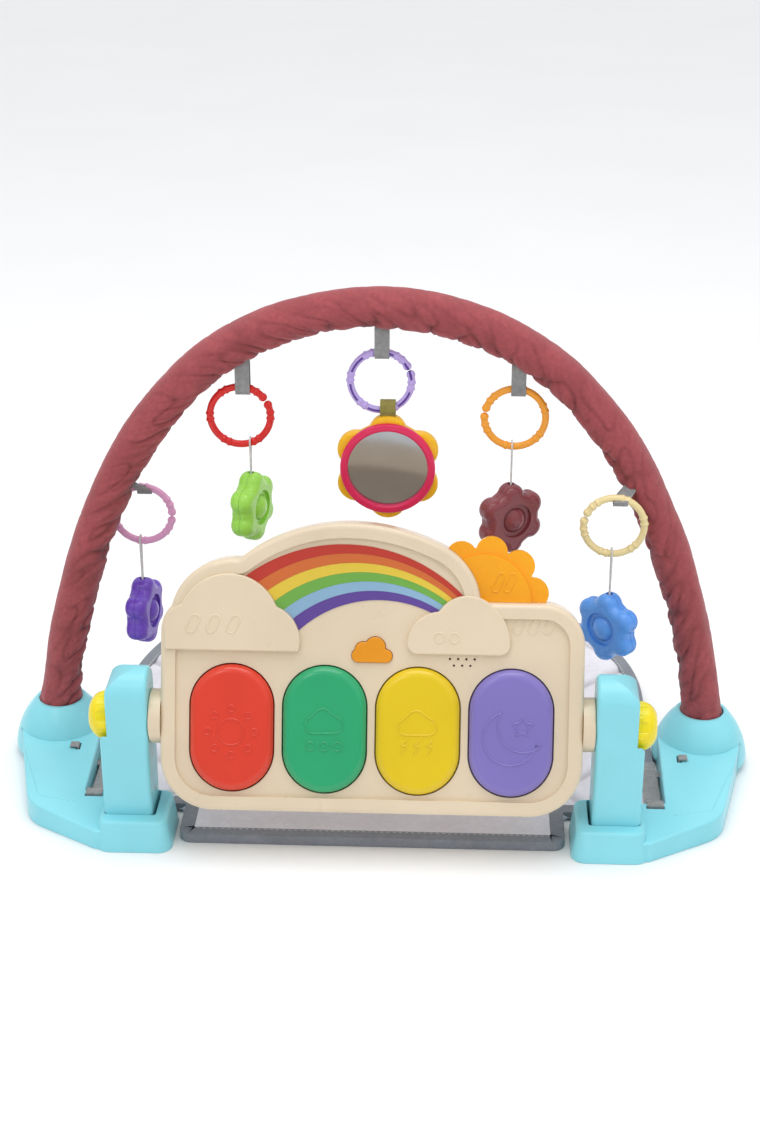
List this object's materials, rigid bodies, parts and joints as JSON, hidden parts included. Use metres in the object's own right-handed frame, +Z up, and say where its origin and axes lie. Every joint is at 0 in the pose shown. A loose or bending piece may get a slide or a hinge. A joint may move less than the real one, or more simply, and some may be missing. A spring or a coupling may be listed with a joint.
{
  "type": "activity play gym",
  "caption": "Baby play gym: padded mat on two moulded bases, tilting piano panel with large keys, padded bow with hanging rings, rattles and a mirror.",
  "frame": {"origin": "on the floor, in the middle of the gym's footprint", "axes": "+X to the right seen from the keys' side, +Y from the panel towards the mat's round end, +Z up"},
  "size_m": [0.761, 0.6116, 0.505],
  "materials": {
    "aqua_plastic": "satin moulded shell",
    "knob_plastic": "glossy",
    "cream_plastic": "satin moulded shell",
    "key_red": "high gloss",
    "key_green": "high gloss",
    "key_yellow": "high gloss",
    "key_purple": "high gloss",
    "button_orange": "glossy",
    "sun_amber": "glossy",
    "rainbow_print": "printed film",
    "sleeve_fabric": "woven, gathered",
    "bow_tube": "extruded tube",
    "mat_fabric": "quilted",
    "webbing": "woven tape",
    "string": "twisted cord",
    "ring_pink": "glossy",
    "ring_red": "glossy",
    "ring_lilac": "glossy",
    "ring_orange": "glossy",
    "ring_cream": "glossy",
    "rattle_purple": "glossy",
    "rattle_green": "glossy",
    "rattle_brown": "glossy",
    "rattle_blue": "glossy",
    "flower_yellow": "glossy",
    "bezel_pink": "glossy",
    "mirror_film": "soft mirror",
    "tab_ribbon": "ribbon",
    "steel": "plated",
    "circuit": "coated board",
    "silicone": "matte",
    "battery_wrap": "printed wrap",
    "speaker_black": "matte"
  },
  "bodies": {
    "root": {"base_left": "aqua_plastic", "base_right": "aqua_plastic", "arch_socket_left": "aqua_plastic", "arch_socket_right": "aqua_plastic", "base_screws": "steel", "play_mat": "mat_fabric", "mat_straps": "webbing"},
    "stand": {"post_left_outer": "aqua_plastic", "post_left_inner": "aqua_plastic", "post_right_outer": "aqua_plastic", "post_right_inner": "aqua_plastic", "post_screws": "steel"},
    "knob_left_body": {"knob_left": "knob_plastic"},
    "knob_right_body": {"knob_right": "knob_plastic"},
    "panel": {"panel_front": "cream_plastic", "panel_back": "cream_plastic", "pivot_hubs": "cream_plastic", "rainbow_decal": "rainbow_print", "sun_ornament": "sun_amber", "circuit_board": "circuit", "speaker": "speaker_black", "battery_door": "cream_plastic", "batteries": "battery_wrap", "battery_contacts": "steel", "panel_screws": "steel", "key_hinge_rods": "steel", "key_switch_domes": "silicone"},
    "button": {"cloud_button": "button_orange"},
    "arch": {"arch_tube_left": "bow_tube", "arch_tube_right": "bow_tube", "arch_tube_joiner": "bow_tube", "arch_sleeve": "sleeve_fabric", "toy_loops": "webbing"},
    "key_red_body": {"key_red": "key_red"},
    "key_green_body": {"key_green": "key_green"},
    "key_yellow_body": {"key_yellow": "key_yellow"},
    "key_purple_body": {"key_purple": "key_purple"},
    "ring_pink_body": {"ring_pink": "ring_pink"},
    "ring_red_body": {"ring_red": "ring_red"},
    "ring_lilac_body": {"ring_lilac": "ring_lilac"},
    "ring_orange_body": {"ring_orange": "ring_orange"},
    "ring_cream_body": {"ring_cream": "ring_cream"},
    "rattle_purple": {"rattle_purple_body": "rattle_purple", "string_purple": "string"},
    "ball_purple_body": {"ball_purple": "rattle_purple"},
    "rattle_green": {"rattle_green_body": "rattle_green", "string_green": "string"},
    "ball_green_body": {"ball_green": "rattle_green"},
    "rattle_brown": {"rattle_brown_body": "rattle_brown", "string_brown": "string"},
    "ball_brown_body": {"ball_brown": "rattle_brown"},
    "rattle_blue": {"rattle_blue_body": "rattle_blue", "string_blue": "string"},
    "ball_blue_body": {"ball_blue": "rattle_blue"},
    "mirror_toy": {"mirror_flower": "flower_yellow", "mirror_bezel": "bezel_pink", "mirror_disc": "mirror_film", "mirror_tab": "tab_ribbon"}
  },
  "joints": [
    {"name": "arch_lift", "type": "slide", "parent": "root", "child": "arch", "axis": [0, 0, 1], "range_m": [0, 0.06]},
    {"name": "stand_lift", "type": "slide", "parent": "root", "child": "stand", "axis": [0, 0, 1], "range_m": [0, 0.04]},
    {"name": "panel_tilt", "type": "hinge", "parent": "stand", "child": "panel", "pos_m": [0, -0.26, 0.128], "axis": [1, 0, 0], "range_deg": [-20, 20]},
    {"name": "knob_left_turn", "type": "hinge", "parent": "stand", "child": "knob_left_body", "pos_m": [-0.2504, -0.26, 0.128], "axis": [-1, 0, 0], "range_deg": [0, 180]},
    {"name": "knob_right_turn", "type": "hinge", "parent": "stand", "child": "knob_right_body", "pos_m": [0.2504, -0.26, 0.128], "axis": [1, 0, 0], "range_deg": [0, 180]},
    {"name": "key_red_press", "type": "hinge", "parent": "panel", "child": "key_red_body", "pos_m": [-0.1314, -0.25125, 0.18712], "axis": [1, 0, 0], "range_deg": [0, 3], "stiffness_Nm_per_rad": 4, "springref_deg": -1.15},
    {"name": "key_green_press", "type": "hinge", "parent": "panel", "child": "key_green_body", "pos_m": [-0.0438, -0.25125, 0.18712], "axis": [1, 0, 0], "range_deg": [0, 3], "stiffness_Nm_per_rad": 4, "springref_deg": -1.15},
    {"name": "key_yellow_press", "type": "hinge", "parent": "panel", "child": "key_yellow_body", "pos_m": [0.0438, -0.25125, 0.18712], "axis": [1, 0, 0], "range_deg": [0, 3], "stiffness_Nm_per_rad": 4, "springref_deg": -1.15},
    {"name": "key_purple_press", "type": "hinge", "parent": "panel", "child": "key_purple_body", "pos_m": [0.1314, -0.25125, 0.18712], "axis": [1, 0, 0], "range_deg": [0, 3], "stiffness_Nm_per_rad": 4, "springref_deg": -1.15},
    {"name": "button_press", "type": "slide", "parent": "panel", "child": "button", "axis": [0, 0.9397, -0.342], "range_m": [0, 0.0015], "stiffness_N_per_m": 600, "springref_m": -0.001},
    {"name": "ring_pink_swing", "type": "hinge", "parent": "arch", "child": "ring_pink_body", "pos_m": [-0.237, -0.0761, 0.28685], "axis": [-1, 0, 0], "range_deg": [-30, 1]},
    {"name": "ring_red_swing", "type": "hinge", "parent": "arch", "child": "ring_red_body", "pos_m": [-0.1318, -0.102, 0.4039], "axis": [-1, 0, 0], "range_deg": [-30, 12]},
    {"name": "ring_lilac_swing", "type": "hinge", "parent": "arch", "child": "ring_lilac_body", "pos_m": [0.0027, -0.102, 0.44168], "axis": [-1, 0, 0], "range_deg": [-30, 12]},
    {"name": "ring_orange_swing", "type": "hinge", "parent": "arch", "child": "ring_orange_body", "pos_m": [0.134, -0.102, 0.40608], "axis": [-1, 0, 0], "range_deg": [-30, 12]},
    {"name": "ring_cream_swing", "type": "hinge", "parent": "arch", "child": "ring_cream_body", "pos_m": [0.235, -0.1279, 0.30477], "axis": [-1, 0, 0], "range_deg": [-1, 12]},
    {"name": "rattle_purple_swing", "type": "hinge", "parent": "ring_pink_body", "child": "rattle_purple", "pos_m": [-0.244, -0.0761, 0.22827], "axis": [0, 1, 0], "range_deg": [-12, 12]},
    {"name": "ball_purple_spin", "type": "hinge", "parent": "rattle_purple", "child": "ball_purple_body", "pos_m": [-0.244, -0.0761, 0.1497], "axis": [0.1736, 0.9848, 0], "continuous": true},
    {"name": "rattle_green_swing", "type": "hinge", "parent": "ring_red_body", "child": "rattle_green", "pos_m": [-0.1262, -0.102, 0.34651], "axis": [0, 1, 0], "range_deg": [-12, 12]},
    {"name": "ball_green_spin", "type": "hinge", "parent": "rattle_green", "child": "ball_green_body", "pos_m": [-0.1262, -0.102, 0.2794], "axis": [0.309, 0.9511, 0], "continuous": true},
    {"name": "rattle_brown_swing", "type": "hinge", "parent": "ring_orange_body", "child": "rattle_brown", "pos_m": [0.1293, -0.102, 0.34727], "axis": [0, 1, 0], "range_deg": [-12, 12]},
    {"name": "ball_brown_spin", "type": "hinge", "parent": "rattle_brown", "child": "ball_brown_body", "pos_m": [0.1293, -0.102, 0.2718], "axis": [0.848, 0.5299, 0], "continuous": true},
    {"name": "rattle_blue_swing", "type": "hinge", "parent": "ring_cream_body", "child": "rattle_blue", "pos_m": [0.2292, -0.1279, 0.24621], "axis": [0, 1, 0], "range_deg": [-12, 12]},
    {"name": "ball_blue_spin", "type": "hinge", "parent": "rattle_blue", "child": "ball_blue_body", "pos_m": [0.2292, -0.1279, 0.1668], "axis": [0.7193, -0.6947, 0], "continuous": true},
    {"name": "mirror_swing", "type": "hinge", "parent": "ring_lilac_body", "child": "mirror_toy", "pos_m": [0.0085, -0.102, 0.38349], "axis": [0, 1, 0], "range_deg": [-5, 5]}
  ]
}
